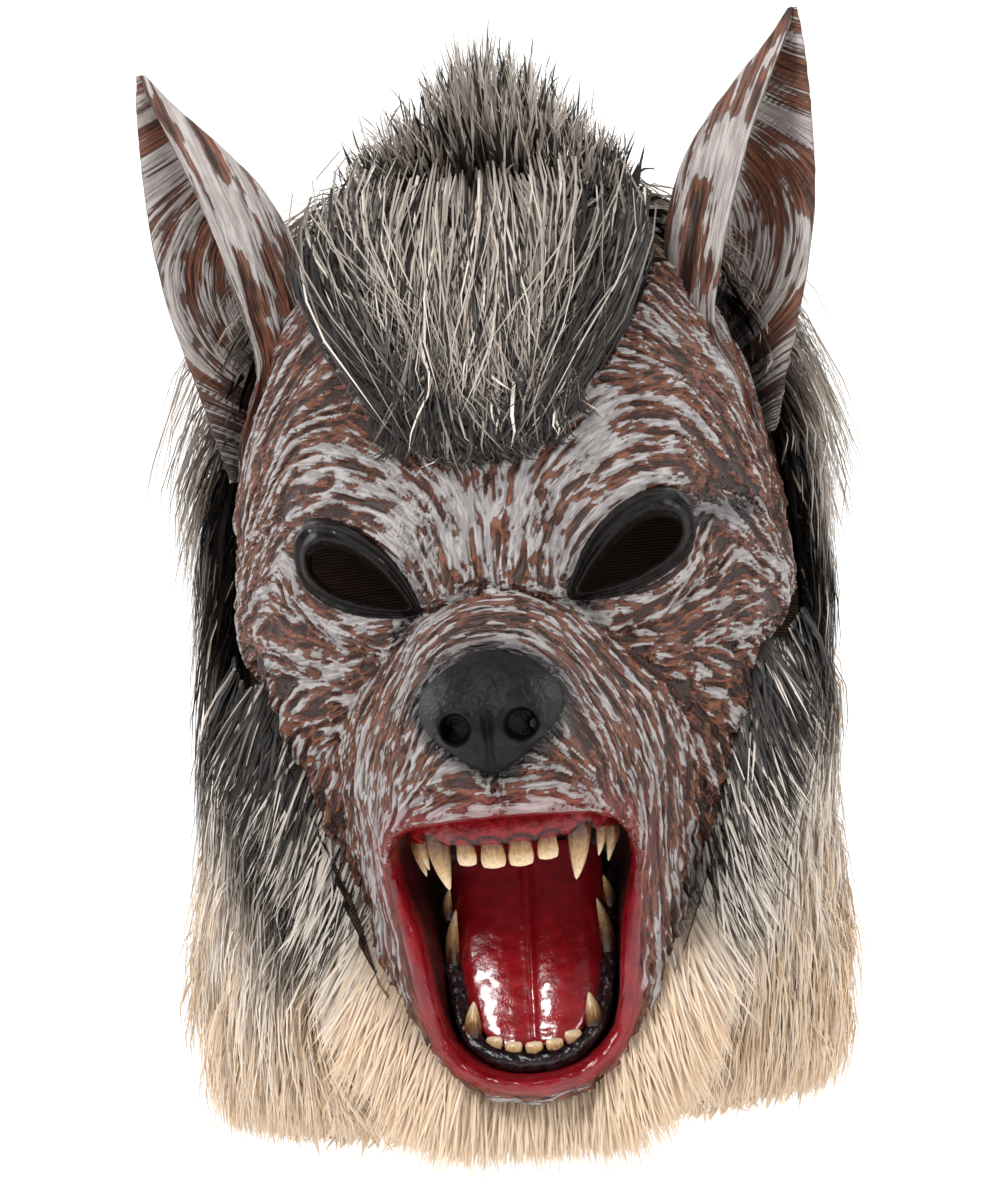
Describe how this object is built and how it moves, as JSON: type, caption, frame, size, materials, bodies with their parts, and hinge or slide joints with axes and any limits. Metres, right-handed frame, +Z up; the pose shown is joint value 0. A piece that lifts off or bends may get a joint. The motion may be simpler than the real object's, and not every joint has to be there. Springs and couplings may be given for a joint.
{
  "type": "werewolf mask",
  "caption": "Full-head werewolf costume mask: snarling latex wolf face with open fanged jaws, tongue, pointed ears and a long-furred hood.",
  "frame": {"origin": "where the crown of the wearer's head meets the inside of the hood", "axes": "+Z up, -Y out of the face, +X to the viewer's right"},
  "size_m": [0.2718, 0.3394, 0.4294],
  "materials": {
    "painted_latex": "matt latex, grey dry-brushed over red-brown",
    "hood_fabric": "knit backing",
    "grey_fur": "long pile fur, black with pale tips",
    "tan_fur": "long pile fur, tan",
    "nose_latex": "satin, pebbled",
    "rim_latex": "gloss black",
    "red_mouth": "wet gloss red",
    "dark_mouth": "gloss dark",
    "teeth": "gloss, brown at the root"
  },
  "bodies": {
    "root": {"face_shell": "painted_latex", "muzzle_shell": "painted_latex", "crown_backing": "hood_fabric", "nose_pad": "nose_latex", "mouth_lining": "dark_mouth", "upper_gum": "red_mouth", "lower_gum": "dark_mouth", "tongue": "red_mouth", "hood_backing_left": "hood_fabric", "ear_left": "painted_latex", "eye_rim_left": "rim_latex", "hood_backing_right": "hood_fabric", "ear_right": "painted_latex", "eye_rim_right": "rim_latex", "upper_incisor_inner_left": "teeth", "upper_incisor_inner_right": "teeth", "upper_incisor_outer_left": "teeth", "upper_incisor_outer_right": "teeth", "upper_canine_left": "teeth", "upper_canine_right": "teeth", "upper_side_front_left": "teeth", "upper_side_front_right": "teeth", "upper_side_middle_left": "teeth", "upper_side_middle_right": "teeth", "upper_side_back_left": "teeth", "upper_side_back_right": "teeth", "lower_incisor_middle": "teeth", "lower_incisor_inner_left": "teeth", "lower_incisor_inner_right": "teeth", "lower_incisor_outer_left": "teeth", "lower_incisor_outer_right": "teeth", "lower_canine_left": "teeth", "lower_canine_right": "teeth", "lower_side_front_left": "teeth", "lower_side_front_right": "teeth", "lower_side_back_left": "teeth", "lower_side_back_right": "teeth", "crown_fur": "grey_fur", "mane_fur": "grey_fur", "throat_fur": "tan_fur"}
  },
  "joints": []
}
